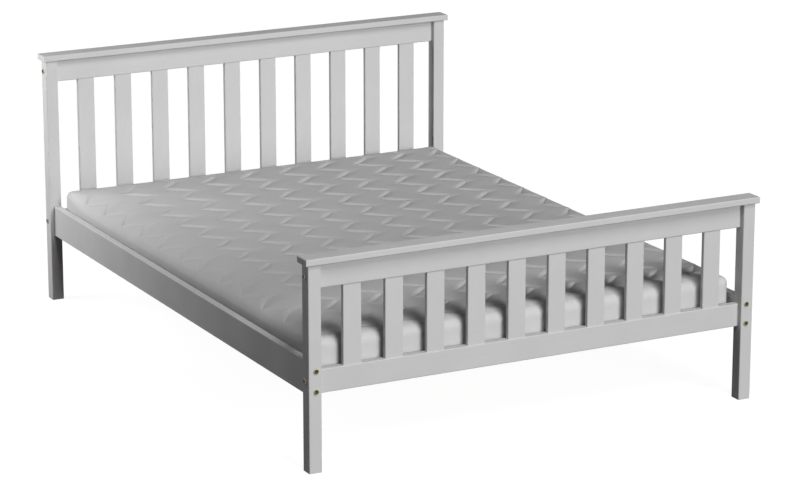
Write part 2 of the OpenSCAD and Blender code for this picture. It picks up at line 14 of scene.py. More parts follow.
import bpy
import numpy as np
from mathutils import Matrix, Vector


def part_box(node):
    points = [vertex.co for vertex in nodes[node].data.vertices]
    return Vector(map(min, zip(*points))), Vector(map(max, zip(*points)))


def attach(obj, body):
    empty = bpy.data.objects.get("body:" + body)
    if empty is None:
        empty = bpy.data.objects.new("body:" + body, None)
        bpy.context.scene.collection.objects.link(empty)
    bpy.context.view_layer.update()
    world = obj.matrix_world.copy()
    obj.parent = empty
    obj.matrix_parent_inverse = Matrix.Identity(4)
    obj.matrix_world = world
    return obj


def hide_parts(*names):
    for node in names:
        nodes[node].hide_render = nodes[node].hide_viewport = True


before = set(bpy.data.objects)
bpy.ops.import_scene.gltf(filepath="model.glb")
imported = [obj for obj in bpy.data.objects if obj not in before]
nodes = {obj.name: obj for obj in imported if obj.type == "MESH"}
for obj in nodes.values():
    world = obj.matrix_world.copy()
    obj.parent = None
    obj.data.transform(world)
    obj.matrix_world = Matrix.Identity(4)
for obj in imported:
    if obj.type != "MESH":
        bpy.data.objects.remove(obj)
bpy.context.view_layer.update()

# %% [markdown]
# ## The camera
#
# The picture was taken from the foot end's left, about two metres higher than the bed and nine
# metres away, so the lines of the bed stay nearly parallel. At that distance a long lens fills the
# picture. A wide lens close by would show the same bed with its foot end far too large.

# %% Camera
CAMERA_PLACE = (-4.444, -8.634, 3.0265)
CAMERA_YAW = -27.58
CAMERA_PITCH = -15.50
LENS = 143.93
SENSOR = 36.0

camera_data = bpy.data.cameras.new("camera")
camera_data.sensor_fit = "HORIZONTAL"
camera_data.sensor_width = SENSOR
camera_data.lens = LENS
camera = bpy.data.objects.new("camera", camera_data)
camera.location = CAMERA_PLACE
camera.rotation_euler = (radians(90 + CAMERA_PITCH), 0, radians(CAMERA_YAW))
bpy.context.scene.collection.objects.link(camera)
bpy.context.scene.camera = camera
print("camera:", CAMERA_PLACE, "lens:", LENS, "mm")

# %% [markdown]
# ## Small helpers for shader nodes
#
# A finish is a tree of nodes. Written out by hand, each node takes a line to make and a line for
# every socket. These helpers make a node, set its choices and feed its sockets in one call: a
# number or colour is set on the socket itself, and another node's output is linked to it.
#
# A relief is given as its strength and its height in metres. Blender's noise runs from 0 to 1, but
# nearly all of it lies between 0.3 and 0.7, so a range is stretched from there.

# %% Node helpers
NOISE_RANGE = (0.3, 0.7)
NOISE_CORE = (0.35, 0.65)


def feed(tree, node, feeds):
    """Feeds a node's sockets, named or by number: an output is linked, and a value is set."""
    for name, value in feeds.items():
        if isinstance(value, bpy.types.NodeSocket):
            tree.links.new(value, node.inputs[name])
        else:
            node.inputs[name].default_value = value


def add(tree, kind, feeds=None, **choices):
    """Adds a node of that kind, sets its choices, and feeds its sockets."""
    made = tree.nodes.new(kind)
    for name, value in choices.items():
        setattr(made, name, value)
    feed(tree, made, feeds or {})
    return made


def calculate(tree, operation, *values):
    """One step of arithmetic on numbers or sockets."""
    return add(tree, "ShaderNodeMath", dict(enumerate(values)), operation=operation).outputs[0]


def calculate_vector(tree, operation, *values):
    """One step of arithmetic on whole vectors."""
    feeds = dict(enumerate(values))
    return add(tree, "ShaderNodeVectorMath", feeds, operation=operation).outputs[0]


def add_noise(tree, place, scale, **feeds):
    """A noise read at a place, with its shares named as Blender names them."""
    return add(tree, "ShaderNodeTexNoise", {"Vector": place, "Scale": scale, **feeds})


def add_bump(tree, height, strength, distance, below=None):
    """The normal of a relief with that height, on top of the relief below it."""
    feeds = {"Height": height, "Strength": strength, "Distance": distance}
    if below is not None:
        feeds["Normal"] = below
    return add(tree, "ShaderNodeBump", feeds).outputs[0]


def blend_colors(tree, share, first, second):
    """A colour between the first and the second, by a share from 0 to 1."""
    feeds = {0: share, 6: first, 7: second}
    return add(tree, "ShaderNodeMix", feeds, data_type="RGBA").outputs[2]


def remap(tree, value, low, high, to_low, to_high):
    """The value stretched from low..high to to_low..to_high, and held at the ends."""
    feeds = {"Value": value, "From Min": low, "From Max": high, "To Min": to_low, "To Max": to_high}
    return add(tree, "ShaderNodeMapRange", feeds).outputs["Result"]


def new_finish(name):
    """A material with an empty tree that holds only its output and a Principled shader."""
    finish = bpy.data.materials.new(name)
    finish.use_nodes = True
    tree = finish.node_tree
    tree.nodes.clear()
    shader = add(tree, "ShaderNodeBsdfPrincipled")
    output = add(tree, "ShaderNodeOutputMaterial")
    tree.links.new(shader.outputs[0], output.inputs[0])
    return finish, tree, shader


def new_group(name, inputs, outputs):
    """A node group, with its inputs as (name, kind, default) and its outputs as (name, kind)."""
    group = bpy.data.node_groups.new(name, "ShaderNodeTree")
    for label, kind, default in inputs:
        socket = group.interface.new_socket(label, in_out="INPUT", socket_type=kind)
        socket.default_value = default
    for label, kind in outputs:
        group.interface.new_socket(label, in_out="OUTPUT", socket_type=kind)
    return group, group.nodes.new("NodeGroupInput"), group.nodes.new("NodeGroupOutput")


def place_group(tree, group, feeds):
    """A group placed in a tree, with its inputs fed."""
    return add(tree, "ShaderNodeGroup", feeds, node_tree=group).outputs


# %% [markdown]
# ## Effects that several finishes share
#
# Wood fibre runs along a board, so the noise that draws it is stretched that way: the group takes
# how many streaks fit in a metre along X, Y and Z. The mottle group gives broad soft patches, which
# keep a large plain surface from looking like one flat colour. Both read the object's own
# coordinates, and every object here sits at the origin, so the pattern runs on from board to board
# without ever repeating.

# %% Shared effects: fibre and mottle
fibre_group, fibre_in, fibre_out = new_group(
    "wood fibre",
    [("Streaks", "NodeSocketVector", (40.0, 40.0, 3.0)), ("Waviness", "NodeSocketFloat", 0.02)],
    [("Fibre", "NodeSocketFloat"), ("Rings", "NodeSocketFloat")],
)
BEND_SCALE = 2.5
RING_TURNS = 34.0

place = add(fibre_group, "ShaderNodeTexCoord").outputs["Object"]
bend = add_noise(fibre_group, place, BEND_SCALE, Detail=1.0)
centred = calculate_vector(fibre_group, "SUBTRACT", bend.outputs["Color"], (0.5, 0.5, 0.5))
wavy = add(
    fibre_group, "ShaderNodeVectorMath",
    {0: centred, "Scale": fibre_in.outputs["Waviness"]}, operation="SCALE",
)
bent = calculate_vector(fibre_group, "ADD", place, wavy.outputs[0])
stretched = calculate_vector(fibre_group, "MULTIPLY", bent, fibre_in.outputs["Streaks"])
streaks = add_noise(fibre_group, stretched, 6.0, Detail=3.0, Roughness=0.6)
bands = add_noise(fibre_group, stretched, 1.0, Detail=2.0, Roughness=0.5)
ripple = calculate(fibre_group, "MULTIPLY", bands.outputs["Fac"], RING_TURNS)
rings = calculate(fibre_group, "SINE", ripple)
feed(fibre_group, fibre_out, {"Fibre": streaks.outputs["Fac"], "Rings": rings})

mottle_group, mottle_in, mottle_out = new_group(
    "mottle",
    [("Patches", "NodeSocketFloat", 5.0)],
    [("Mottle", "NodeSocketFloat"), ("Grit", "NodeSocketFloat")],
)
GRIT_SCALE = 420.0

place = add(mottle_group, "ShaderNodeTexCoord").outputs["Object"]
patches = add_noise(
    mottle_group, place, mottle_in.outputs["Patches"], Detail=3.0, Roughness=0.55
)
grit = add_noise(mottle_group, place, GRIT_SCALE, Detail=2.0)
feed(mottle_group, mottle_out, {"Mottle": patches.outputs["Fac"], "Grit": grit.outputs["Fac"]})
print("node groups:", [group.name for group in bpy.data.node_groups])

# %% [markdown]
# ## Painted boards
#
# The boards are softwood under two sprayed coats of white satin paint. The paint hides the colour
# of the wood, but not all of its relief: long shallow ridges still catch the light, over the fine
# grit of the spray. So the fibre goes into the bump and only faintly into the colour. The fibre has
# to follow each board, which takes three materials, for boards along X, Y and Z.

# %% Paint
PAINT = (0.605, 0.605, 0.608, 1.0)
PAINT_SHADE = (0.575, 0.575, 0.581, 1.0)
PAINT_PATCHES = 7.0
PAINT_WAVINESS = 0.03
PAINT_ROUGHNESS = (0.48, 0.62)
PAINT_SPECULAR = 0.08
RIDGE_RELIEF = (0.25, 0.0006)
SPRAY_RELIEF = (0.12, 0.0003)
STREAKS = {"x": (2.2, 60.0, 60.0), "y": (60.0, 2.2, 60.0), "z": (60.0, 60.0, 2.2)}


def paint(direction):
    """Satin paint over wood whose fibre runs along the direction."""
    finish, tree, shader = new_finish("paint_along_" + direction)
    grain = {"Streaks": STREAKS[direction], "Waviness": PAINT_WAVINESS}
    fibre = place_group(tree, fibre_group, grain)
    mottle = place_group(tree, mottle_group, {"Patches": PAINT_PATCHES})
    tint = remap(tree, mottle["Mottle"], *NOISE_CORE, 0.0, 1.0)
    color = blend_colors(tree, tint, PAINT, PAINT_SHADE)
    ridges = remap(tree, fibre["Fibre"], *NOISE_RANGE, 0.0, 1.0)
    relief = add_bump(tree, fibre["Fibre"], *RIDGE_RELIEF)
    feed(tree, shader, {
        "Base Color": blend_colors(tree, ridges, PAINT_SHADE, color),
        "Roughness": remap(tree, mottle["Mottle"], *NOISE_RANGE, *PAINT_ROUGHNESS),
        "Normal": add_bump(tree, mottle["Grit"], *SPRAY_RELIEF, relief),
        "Specular IOR Level": PAINT_SPECULAR,
    })
    return finish


paints = {direction: paint(direction) for direction in "xyz"}
print("paints:", sorted(finish.name for finish in paints.values()))

# %% [markdown]
# ## Bare softwood
#
# The cross slats, the ledges, the middle beam and its leg are left unpainted. Planed pine shows
# bands of pale early wood and darker late wood, fine fibre between them, and a knot here and there.
# The bands come from the sine of a stretched noise, which gives lines that swell and close up as
# growth rings do. A stretched Voronoi pattern scatters points over the wood, and a knot is the
# small dark spot close around each of them.

# %% Pine
EARLY_WOOD = (0.66, 0.49, 0.29, 1.0)
LATE_WOOD = (0.50, 0.32, 0.16, 1.0)
KNOT = (0.20, 0.10, 0.05, 1.0)
PINE_PATCHES = 4.0
PINE_WAVINESS = 0.05
PINE_ROUGHNESS = (0.55, 0.72)
RING_RELIEF = (0.15, 0.0003)
LATE_RANGE = (0.2, 1.0)
LATE_MOST = 0.85
PATCH_MOST = 0.35
KNOT_REACH = (0.04, 0.11)
KNOT_MOST = 0.9
KNOT_CELLS = {"x": (3.0, 14.0, 14.0), "y": (14.0, 3.0, 14.0), "z": (14.0, 14.0, 3.0)}


def pine(direction):
    """Planed pine whose fibre runs along the direction."""
    finish, tree, shader = new_finish("pine_along_" + direction)
    grain = {"Streaks": STREAKS[direction], "Waviness": PINE_WAVINESS}
    fibre = place_group(tree, fibre_group, grain)
    mottle = place_group(tree, mottle_group, {"Patches": PINE_PATCHES})
    late = remap(tree, fibre["Rings"], *LATE_RANGE, 0.0, LATE_MOST)
    wood = blend_colors(tree, late, EARLY_WOOD, LATE_WOOD)
    shade = remap(tree, mottle["Mottle"], *NOISE_RANGE, 0.0, PATCH_MOST)
    wood = blend_colors(tree, shade, wood, LATE_WOOD)
    place = add(tree, "ShaderNodeTexCoord").outputs["Object"]
    cells = calculate_vector(tree, "MULTIPLY", place, KNOT_CELLS[direction])
    knots = add(tree, "ShaderNodeTexVoronoi", {"Vector": cells, "Scale": 1.0})
    knot = remap(tree, knots.outputs["Distance"], *KNOT_REACH, KNOT_MOST, 0.0)
    feed(tree, shader, {
        "Base Color": blend_colors(tree, knot, wood, KNOT),
        "Roughness": remap(tree, fibre["Fibre"], *NOISE_RANGE, *PINE_ROUGHNESS),
        "Normal": add_bump(tree, fibre["Rings"], *RING_RELIEF),
    })
    return finish


pines = {direction: pine(direction) for direction in "xyz"}
print("pines:", sorted(finish.name for finish in pines.values()))

# %% [markdown]
# ## Zinc-plated steel
#
# The shoes under the middle beam, the barrel nuts and the screws are plated. Plating is bright
# where it is smooth and dull where it has bloomed, so the mottle drives both the roughness and the
# colour, and metal keeps Metallic at 1.

# %% Zinc
ZINC = (0.62, 0.63, 0.65, 1.0)
ZINC_BLOOM = (0.42, 0.43, 0.46, 1.0)
ZINC_PATCHES = 45.0
BLOOM_RANGE = (0.4, 0.65)
ZINC_ROUGHNESS = (0.28, 0.5)
ZINC_RELIEF = (0.1, 0.0002)

zinc, tree, shader = new_finish("zinc")
mottle = place_group(tree, mottle_group, {"Patches": ZINC_PATCHES})
bloom = remap(tree, mottle["Mottle"], *BLOOM_RANGE, 0.0, 1.0)
feed(tree, shader, {
    "Base Color": blend_colors(tree, bloom, ZINC, ZINC_BLOOM),
    "Roughness": remap(tree, mottle["Mottle"], *NOISE_RANGE, *ZINC_ROUGHNESS),
    "Normal": add_bump(tree, mottle["Grit"], *ZINC_RELIEF),
    "Metallic": 1.0,
})
print("zinc:", zinc.name)

# %% [markdown]
# ## Dress the boards
#
# A board's direction is read from its box: its fibre runs along its longest side. That keeps the
# list short, and a board that is added later dresses itself.

# %% Put the finishes on the boards
PAINTED = ("post", "cap", "rail", "upright")
BARE = ("ledge", "cross_slat_", "middle", "dowels")


def longest_side(name):
    """The letter of the axis along which the node's box is longest."""
    low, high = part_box(name)
    return "xyz"[int(np.argmax(np.array(high - low)))]


def dress(name, finish):
    """Puts one finish in the node's first slot."""
    slots = nodes[name].data.materials
    slots.clear()
    slots.append(finish)


for name in nodes:
    if name.endswith("screws") or name.startswith(("beam_hanger", "barrel_nuts")):
        dress(name, zinc)
    elif any(word in name for word in BARE):
        dress(name, pines[longest_side(name)])
    elif any(word in name for word in PAINTED):
        dress(name, paints[longest_side(name)])
print("dressed:", sum(bool(node.data.materials) for node in nodes.values()))

# %% [markdown]
# ## From numpy arrays to a mesh
#
# Each new surface is a grid of points worked out as whole arrays. This helper hands such arrays to
# Blender in one go, which is far quicker than adding vertices one by one. Values that belong to the
# points, such as how far each lies from a seam, go in beside them as a named attribute, and the
# material can read that.

# %% Mesh helper
def mesh_object(name, points, faces, attribute=None):
    """An object from (n, 3) points and a list of faces, with an optional (n, 3) attribute."""
    mesh = bpy.data.meshes.new(name)
    mesh.from_pydata(points.tolist(), [], [list(face) for face in faces])
    if attribute is not None:
        label, values = attribute
        layer = mesh.attributes.new(label, "FLOAT_VECTOR", "POINT")
        layer.data.foreach_set("vector", values.astype(np.float32).ravel())
    mesh.polygons.foreach_set("use_smooth", np.ones(len(mesh.polygons), bool))
    mesh.update()
    made = bpy.data.objects.new(name, mesh)
    bpy.context.scene.collection.objects.link(made)
    return made


def grid_faces(index):
    """Quads between neighbouring points of a 2-D array of point numbers."""
    corners = (index[:-1, :-1], index[:-1, 1:], index[1:, 1:], index[1:, :-1])
    return np.stack([corner.ravel() for corner in corners], axis=1)


# %% [markdown]
# ## The mattress: where its points lie
#
# The cover is quilted: ten seams run down the bed in zigzags, and the padding stands up between
# them. A seam only looks sewn if the mesh follows it, so the columns of the grid swing from side to
# side with the seams, and lie closer together beside them. A square grid would cut across the seams
# and leave them ragged.
#
# Near the long sides the swing dies out, and the last columns and rows are spread over the rounded
# border, where the cover turns down to the side. A quilted column or row that would lie almost on
# the border's first one is left out.

# %% Mattress sizes and seams
low, high = (np.array(corner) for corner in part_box("mattress"))
HALF_X = (high[0] - low[0]) / 2
HALF_Y = (high[1] - low[1]) / 2
BOTTOM = low[2]
TOP = high[2]
CROWN = 0.006
CROWN_POWER = 4
BORDER = 0.024
BORDER_DROP = 0.022
LOWER_ROUND = 0.014
LOWER_ANGLES = np.radians([30, 60, 90])
SHOULDER_WIDTH = 0.095
SHOULDER_DROP = 0.020
SHOULDER_ENDS = 0.130

SEAM_PITCH = 0.144
SEAM_COUNT = 10
SWING = 0.042
ZIGZAG = 0.1505
RIGHT_SHARE = 0.51
LEFT_PEAK_Y = -0.852
SWING_FADE = (0.620, HALF_X)
SEWN_SIDES = (0.625, 0.700)

seam_places = (np.arange(SEAM_COUNT) - (SEAM_COUNT - 1) / 2) * SEAM_PITCH
print("mattress:", np.round(high - low, 3), "seams at X:", np.round(seam_places, 3))


def smooth_step(value, start, end):
    """0 before start, 1 after end, and a smooth rise between: 3 t squared less 2 t cubed."""
    t = np.clip((value - start) / (end - start), 0, 1)
    return t * t * (3 - 2 * t)


def sway(y):
    """Where the seams have swung to at y: -1 at a left peak, 1 at a right one, in straight legs."""
    phase = ((y - LEFT_PEAK_Y) / ZIGZAG) % 1
    right_leg = -1 + 2 * phase / RIGHT_SHARE
    left_leg = 1 - 2 * (phase - RIGHT_SHARE) / (1 - RIGHT_SHARE)
    return np.where(phase < RIGHT_SHARE, right_leg, left_leg)


# %% Mattress columns and rows
BESIDE_SEAM = np.array([0, 0.0025, 0.006, 0.010, 0.015, 0.0215, 0.030, 0.041, 0.055, 0.072])
BORDER_STEPS = 8
LEG_STEPS = 10
CLEAR_X = 0.001
CLEAR_Y = 0.003

inner_x = HALF_X - BORDER
inner_y = HALF_Y - BORDER
turn = np.sin(np.linspace(0, np.pi / 2, BORDER_STEPS + 1)) * BORDER
offsets = np.concatenate([-BESIDE_SEAM[:0:-1], BESIDE_SEAM[:-1]])
quilted = (seam_places[:, None] + offsets).ravel()
quilted = quilted[np.abs(quilted) < inner_x - CLEAR_X]
columns = np.concatenate([-(inner_x + turn)[::-1], quilted, inner_x + turn])

right_leg = np.linspace(0, RIGHT_SHARE, LEG_STEPS, endpoint=False)
left_leg = np.linspace(RIGHT_SHARE, 1, LEG_STEPS, endpoint=False)
one_zigzag = np.concatenate([right_leg, left_leg]) * ZIGZAG
first = int(np.floor((-inner_y - LEFT_PEAK_Y) / ZIGZAG))
count = int(np.ceil(2 * inner_y / ZIGZAG)) + 2
along = (LEFT_PEAK_Y + (first + np.arange(count))[:, None] * ZIGZAG + one_zigzag).ravel()
along = along[np.abs(along) < inner_y - CLEAR_Y]
rows = np.concatenate([-(inner_y + turn)[::-1], along, inner_y + turn])
print("columns:", len(columns), "rows:", len(rows))

# %% [markdown]
# ## The mattress: its surface
#
# The top is a height over the grid: a low crown, and a quarter ellipse down each border. Along the
# left side, where people sit down, the padding has given, and the top slopes to the border in a
# soft shoulder. At a corner both borders meet, and a square grid would leave a sharp point there,
# so a square-to-disc map pulls the corner in to a quarter circle. The sides and the rounded lower
# edge are the top's outline, repeated ring by ring, and one flat face closes the bottom, where it
# rests on the slats.

# %% Mattress shell
def round_corners(x, y):
    """Pulls each corner square in to a quarter disc, and gives how far into the border a point is.

    Inside the corner, a and b run from 0 to 1 across the border, and become
    a * sqrt(1 - b * b / 2) and b * sqrt(1 - a * a / 2).
    """
    a = np.clip((np.abs(x) - inner_x) / BORDER, 0, 1)
    b = np.clip((np.abs(y) - inner_y) / BORDER, 0, 1)
    disc_a = a * np.sqrt(1 - b * b / 2)
    disc_b = b * np.sqrt(1 - a * a / 2)
    x = np.where(a > 0, np.sign(x) * (inner_x + BORDER * disc_a), x)
    y = np.where(b > 0, np.sign(y) * (inner_y + BORDER * disc_b), y)
    return x, y, np.hypot(disc_a, disc_b)


def top_surface():
    """The points of the top and its border, and the grid's own u and v.

    Each column swings aside with the seams. The height falls from the crown by the fourth power
    of the way out to each side, over the border by a quarter ellipse, and over the shoulder by
    the square of the way into it.
    """
    u, v = np.meshgrid(columns, rows, indexing="ij")
    hold = 1 - smooth_step(np.abs(u), *SWING_FADE)
    x, y, depth = round_corners(u + SWING * sway(v) * hold, v)
    across = 1 - np.clip(np.abs(u) / inner_x, 0, 1) ** CROWN_POWER
    down = 1 - np.clip(np.abs(v) / inner_y, 0, 1) ** CROWN_POWER
    border = 1 - np.sqrt(np.clip(1 - depth ** 2, 0, 1))
    z = TOP - CROWN + CROWN * across * down - BORDER_DROP * border
    to_left = np.clip(1 - (x + inner_x) / SHOULDER_WIDTH, 0, 1)
    ends = 1 - smooth_step(np.abs(v), inner_y - SHOULDER_ENDS, inner_y)
    z = z - SHOULDER_DROP * to_left ** 2 * ends
    return np.stack([x, y, z], axis=-1), u, v


def close_shell(top, side_rings):
    """Points and faces of the top, its sides and its bottom, and how many points the top has.

    The sides carry the top's outline straight down. The lower edge is a quarter circle: at each
    angle it has come in by LOWER_ROUND * (1 - cos), and gone down by LOWER_ROUND * sin.
    """
    numbers = np.arange(top.shape[0] * top.shape[1]).reshape(top.shape[:2])
    outline = np.concatenate(
        [numbers[:-1, 0], numbers[-1, :-1], numbers[:0:-1, -1], numbers[0, :0:-1]]
    )
    edge = top.reshape(-1, 3)[outline]
    step = np.roll(edge, -1, axis=0) - np.roll(edge, 1, axis=0)
    outward = np.stack([step[:, 1], -step[:, 0]], axis=1)
    outward /= np.linalg.norm(outward, axis=1, keepdims=True)
    rings = []
    for share in np.linspace(0, 1, side_rings + 1)[1:]:
        z = edge[:, 2] + share * (BOTTOM + LOWER_ROUND - edge[:, 2])
        rings.append(np.column_stack([edge[:, :2], z]))
    for angle in LOWER_ANGLES:
        inset = outward * LOWER_ROUND * (1 - np.cos(angle))
        z = BOTTOM + LOWER_ROUND * (1 - np.sin(angle))
        rings.append(np.column_stack([edge[:, :2] - inset, np.full(len(edge), z)]))
    ring_numbers = numbers.size + np.arange(len(rings) * len(edge)).reshape(len(rings), len(edge))
    sides = np.vstack([outline, ring_numbers])
    sides = np.hstack([sides, sides[:, :1]])
    faces = grid_faces(numbers)[:, ::-1].tolist() + grid_faces(sides)[:, ::-1].tolist()
    faces.append(ring_numbers[-1][::-1].tolist())
    return np.concatenate([top.reshape(-1, 3)] + rings), faces, numbers.size


top, grid_u, grid_v = top_surface()
print("top points:", top.shape[:2])

# %% [markdown]
# ## The mattress: how far each point is from a seam
#
# The stitches, the gathers beside them and the furrow of the seam all depend on two numbers: how
# far a point is from the nearest seam, and how far along that seam it lies. They are worked out
# once here. The furrow uses them now, and the material reads them later as an attribute.

# %% Seam distances
RIGHT_LEG = np.hypot(2 * SWING, RIGHT_SHARE * ZIGZAG)
LEFT_LEG = np.hypot(2 * SWING, (1 - RIGHT_SHARE) * ZIGZAG)
SEWN_ENDS = (inner_y - 0.030, inner_y + 0.015)


def is_right_leg(v):
    """True where the seams run to the right on their way to the head, and False on left legs."""
    return ((v - LEFT_PEAK_Y) / ZIGZAG) % 1 < RIGHT_SHARE


def seam_values(u, v):
    """Distance from the nearest seam, run along it, and how far along its leg a point is, 0 to 1.

    Across the bed the distance is |u - seam|. The angle of the leg makes the true distance
    shorter by (the leg's run in Y) / (its length). It counts as negative on the seam's foot side,
    which is the right side of a leg that runs to the right, and the left side of the other.
    """
    from_seams = u[..., None] - seam_places
    nearest = np.abs(from_seams).argmin(axis=-1)[..., None]
    aside = np.take_along_axis(from_seams, nearest, axis=-1)[..., 0]
    turns = (v - LEFT_PEAK_Y) / ZIGZAG
    phase = turns % 1
    to_right = is_right_leg(v)
    leg_run = np.where(to_right, RIGHT_SHARE, 1 - RIGHT_SHARE)
    leg_length = np.where(to_right, RIGHT_LEG, LEFT_LEG)
    share = np.where(to_right, phase, phase - RIGHT_SHARE) / leg_run
    run = np.floor(turns) * (RIGHT_LEG + LEFT_LEG)
    run = run + np.where(to_right, 0, RIGHT_LEG) + share * leg_length
    lean = leg_run * ZIGZAG / leg_length
    return np.where(to_right, -aside, aside) * lean, run, share


def sewn_share(u, v):
    """1 where the seams are sewn down, falling to 0 over the border."""
    down = 1 - smooth_step(np.abs(v), *SEWN_ENDS)
    return down * (1 - smooth_step(np.abs(u), *SEWN_SIDES))


aside, run, leg_share = seam_values(grid_u, grid_v)
fade = sewn_share(grid_u, grid_v)
print("seam legs:", round(RIGHT_LEG, 4), round(LEFT_LEG, 4))

# %% [markdown]
# ## The mattress: padding
#
# A cover with padding under it is blown up against its seams. Blender's cloth does that: the shell
# starts 3 mm smaller all round, and is filled with a little pressure. The bottom is held where it
# lies on the slats, and so are the seams, where the stitches go through. The frames are stepped
# with no gravity, and then no point may have moved further than 3 mm, because a mattress is firm.
#
# The swelling is broad, so every second column and row is enough to find it, and that takes a
# quarter of the time. The moves are then spread back over the full grid.

# %% Inflate the cover
PRESSURE = 4.0
FRAMES = 20
CLOTH_QUALITY = 3
MOST_MOVE = 0.0030
START_SMALLER = 0.003
NO_LENGTH = 1e-9
ON_SEAM = 0.001
SEWN_ENOUGH = 0.3
HELD_ABOVE_BOTTOM = 0.004
COARSE_RINGS = 3


def inflate(shell, held):
    """Runs the cloth with the held points pinned, and returns the moved points."""
    pins = shell.vertex_groups.new(name="held")
    pins.add(np.flatnonzero(held).tolist(), 1.0, "REPLACE")
    cloth = shell.modifiers.new("cloth", "CLOTH")
    cloth.settings.use_pressure = True
    cloth.settings.uniform_pressure_force = PRESSURE
    cloth.settings.effector_weights.gravity = 0.0
    cloth.settings.vertex_group_mass = "held"
    cloth.settings.quality = CLOTH_QUALITY
    cloth.point_cache.frame_start = 1
    cloth.point_cache.frame_end = FRAMES
    for number in range(1, FRAMES + 1):
        bpy.context.scene.frame_set(number)
    settled = shell.evaluated_get(bpy.context.evaluated_depsgraph_get()).to_mesh()
    moved = np.empty(len(held) * 3)
    settled.vertices.foreach_get("co", moved)
    shell.modifiers.remove(cloth)
    bpy.context.scene.frame_set(1)
    return moved.reshape(-1, 3)


def spread(values, places, wanted, axis):
    """Values known at some places along an axis, read off in straight lines at the wanted ones."""
    right = np.clip(np.searchsorted(places, wanted), 1, len(places) - 1)
    share = (wanted - places[right - 1]) / (places[right] - places[right - 1])
    shape = [1] * values.ndim
    shape[axis] = len(wanted)
    share = share.reshape(shape)
    return np.take(values, right - 1, axis) * (1 - share) + np.take(values, right, axis) * share


peak_row = int(np.argmin(np.abs(rows - LEFT_PEAK_Y)))
some_rows = np.unique([0, *range(peak_row % 2, len(rows), 2), len(rows) - 1])
seam_column = int(np.argmin(np.abs(columns - seam_places[0])))
some_columns = np.unique([0, *range(seam_column % 2, len(columns), 2), len(columns) - 1])
u, v = np.meshgrid(columns[some_columns], rows[some_rows], indexing="ij")
coarse_top = top[np.ix_(some_columns, some_rows)]
coarse_points, coarse_faces, size = close_shell(coarse_top, COARSE_RINGS)
middle = np.array([0, 0, BOTTOM])
extent = np.array([HALF_X, HALF_Y, TOP - BOTTOM])
start = middle + (coarse_points - middle) * (1 - START_SMALLER / extent)
gap = seam_values(u, v)[0]
on_seam = np.zeros(len(start), bool)
on_seam[:size] = ((np.abs(gap) < ON_SEAM) & (sewn_share(u, v) > SEWN_ENOUGH)).ravel()
shell = mesh_object("mattress_shell", start, coarse_faces)
on_slats = coarse_points[:, 2] < BOTTOM + HELD_ABOVE_BOTTOM
moved = inflate(shell, on_seam | on_slats)
bpy.data.objects.remove(shell)

move = (moved - start)[:size]
length = np.linalg.norm(move, axis=1, keepdims=True)
print("longest move before the cap:", round(float(length.max()), 4))
move = move * MOST_MOVE * np.tanh(length / MOST_MOVE) / np.maximum(length, NO_LENGTH)
move = move.reshape(coarse_top.shape) - START_SMALLER * (coarse_top - middle) / extent
move = spread(move, columns[some_columns], columns, 0)
move = spread(move, rows[some_rows], rows, 1)
top = top + move

# %% [markdown]
# ## The mattress: the sewn furrows
#
# The inflated cover still lacks the sharp line that the thread pulls. A furrow is cut along each
# seam. The cover is drawn a little towards the foot, so the furrow's wall on the head side is short
# and steep, and on the foot side the cloth comes down to the thread in a long slope. It is deepest
# in the middle of each leg and shallow at the peaks, where the two legs pull against each other,
# and it fades out over the border.

# %% Sew the seams
RIGHT_FURROW = 0.0058
LEFT_FURROW = 0.0040
HEAD_WALL = 0.0105
FOOT_WALL = 0.038
WALL_POWER = 1.3
PEAK_SHARE = 0.10
PEAK_POWER = 0.4
SIDE_RINGS = 5
PROUD = 0.003
FAR_FROM_SEAM = 0.2

pull = PEAK_SHARE + (1 - PEAK_SHARE) * np.sin(np.pi * leg_share) ** PEAK_POWER
wall = np.where(aside > 0, HEAD_WALL, FOOT_WALL)
aside = np.abs(aside)
depth = np.where(is_right_leg(grid_v), RIGHT_FURROW, LEFT_FURROW)
furrow = depth * np.clip(1 - aside / wall, 0, 1) ** WALL_POWER * pull * fade
top[..., 2] -= furrow
points, shell_faces, top_size = close_shell(top, SIDE_RINGS)
points = np.clip(points, low, high + (0, 0, PROUD))
seam_facts = np.zeros((len(points), 3))
seam_facts[:, 0] = FAR_FROM_SEAM
seam_facts[:top_size] = np.stack([aside, run, fade], axis=-1).reshape(-1, 3)

mattress = mesh_object("mattress_cover", points, shell_faces, ("seam", seam_facts))
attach(mattress, "mattress")
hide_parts("mattress")
print("deepest furrow:", round(float(furrow.max()), 4), "points:", len(points))

# %% [markdown]
# ## The mattress: its cover
#
# The cover is a plain white knitted ticking. Three scales of detail make it read as cloth: the
# stitches of the seam, short gathers that run out from the seam where the thread bunches the cloth,
# and the weave itself. Broad, shallow folds lie under them. The gathers come from a noise that is
# read along and across the seam, and so turns with every zigzag. The weave reads the object's
# coordinates and needs no unwrapping. It is set in radians in a metre, and Blender's wave turns
# through 20 radians in one unit of its scale.

# %% Ticking threads, gathers and weave
TICKING = (0.600, 0.600, 0.604, 1.0)
TICKING_SHADE = (0.560, 0.560, 0.567, 1.0)
THREAD = (0.680, 0.680, 0.680, 1.0)
STITCH = 0.0045
STITCH_SHOWS = (-0.4, 0.2)
THREAD_REACH = (0.0004, 0.0010)
GATHER_REACH = (0.002, 0.030)
GATHERS_ACROSS = 30.0
GATHERS_ALONG = 130.0
WEAVE = 900.0
WAVE_RADIANS = 20

ticking, tree, shader = new_finish("ticking")
seam = add(tree, "ShaderNodeAttribute", attribute_name="seam")
gap, along_seam, sewn = add(tree, "ShaderNodeSeparateXYZ", {0: seam.outputs["Vector"]}).outputs
place = add(tree, "ShaderNodeTexCoord").outputs["Object"]

